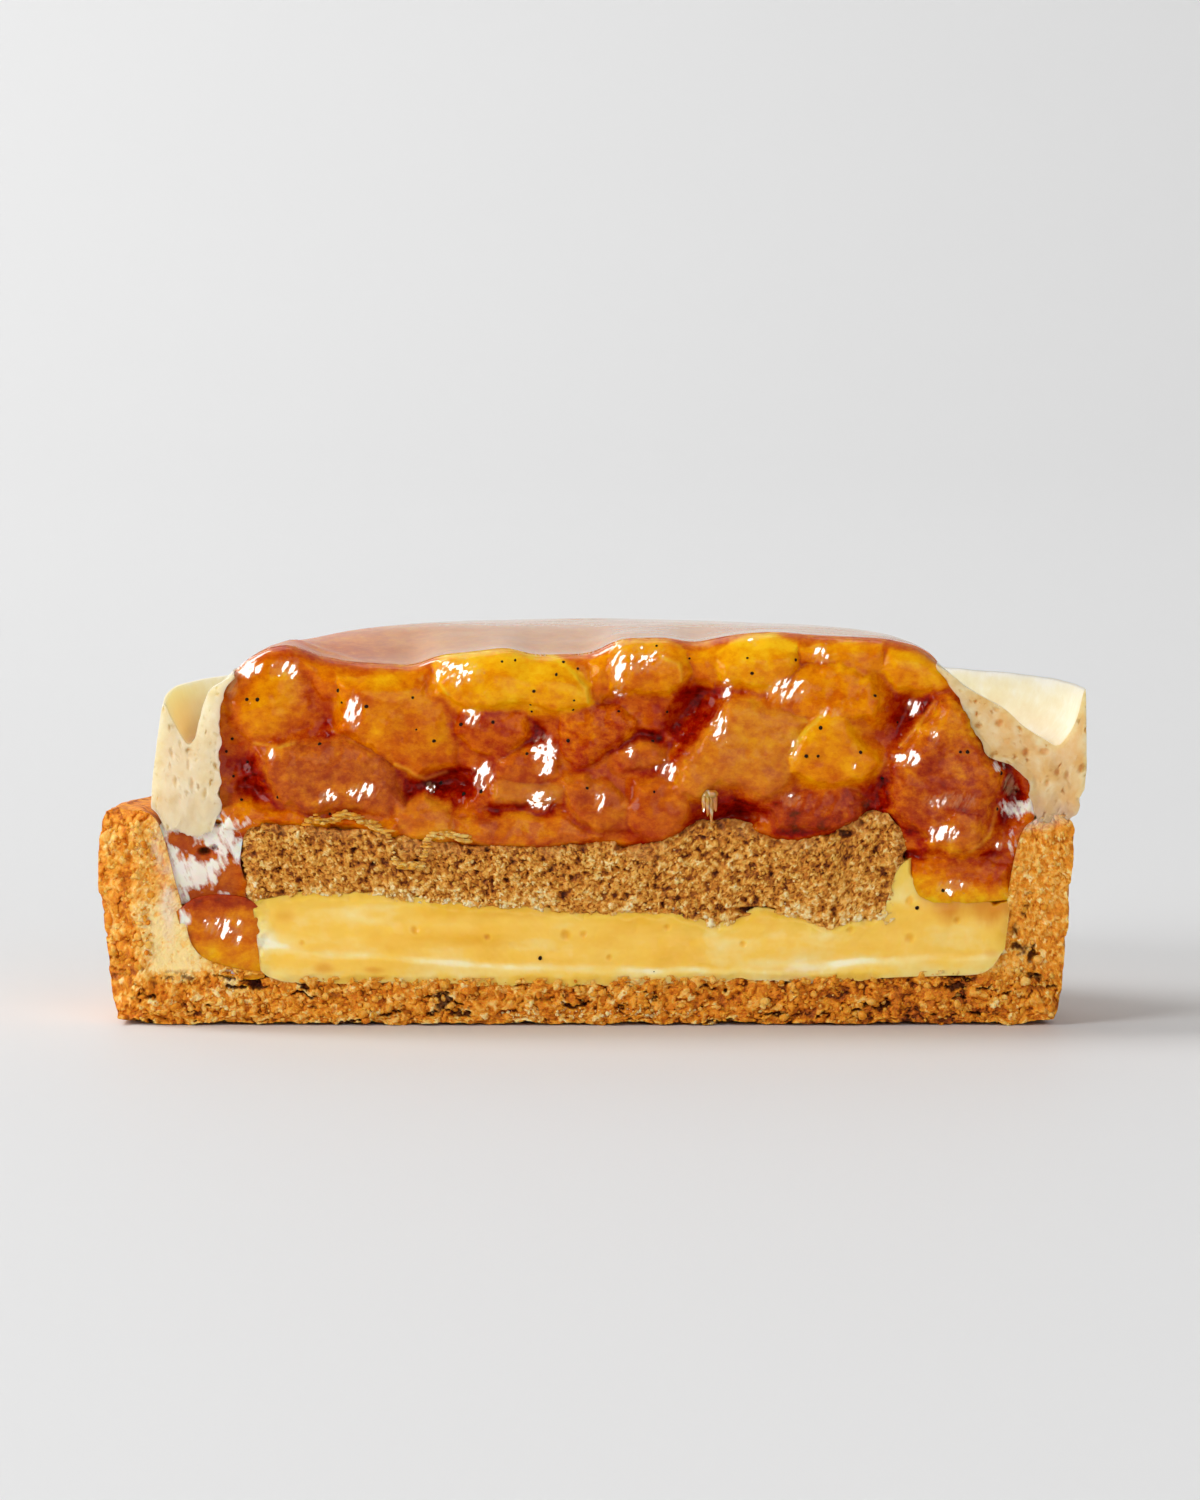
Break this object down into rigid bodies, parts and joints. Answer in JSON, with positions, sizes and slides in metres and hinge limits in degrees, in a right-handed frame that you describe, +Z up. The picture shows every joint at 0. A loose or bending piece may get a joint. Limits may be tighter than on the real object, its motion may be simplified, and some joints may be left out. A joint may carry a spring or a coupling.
{
  "type": "apple tart slice",
  "caption": "Half of a round apple tartlet, cut to show shortcrust, custard, sponge, caramel apple filling and piped cream.",
  "frame": {"origin": "middle of the half tart's bounding box, on the surface that it stands on", "axes": "+X along the cut face to the right, +Y away from the cut face into the tart, +Z up; the cut face looks towards -Y"},
  "size_m": [0.0844, 0.0434, 0.0338],
  "materials": {
    "shortcrust": "baked, crumbly, matt",
    "custard": "smooth, moist, satin",
    "sponge": "porous, matt",
    "apple": "wet, glazed, translucent",
    "cream": "soft, satin"
  },
  "bodies": {
    "root": {"pastry_case": "shortcrust", "custard": "custard", "sponge_disc": "sponge", "apple_filling": "apple", "apple_pocket": "apple", "cream_ring": "cream"}
  },
  "joints": []
}
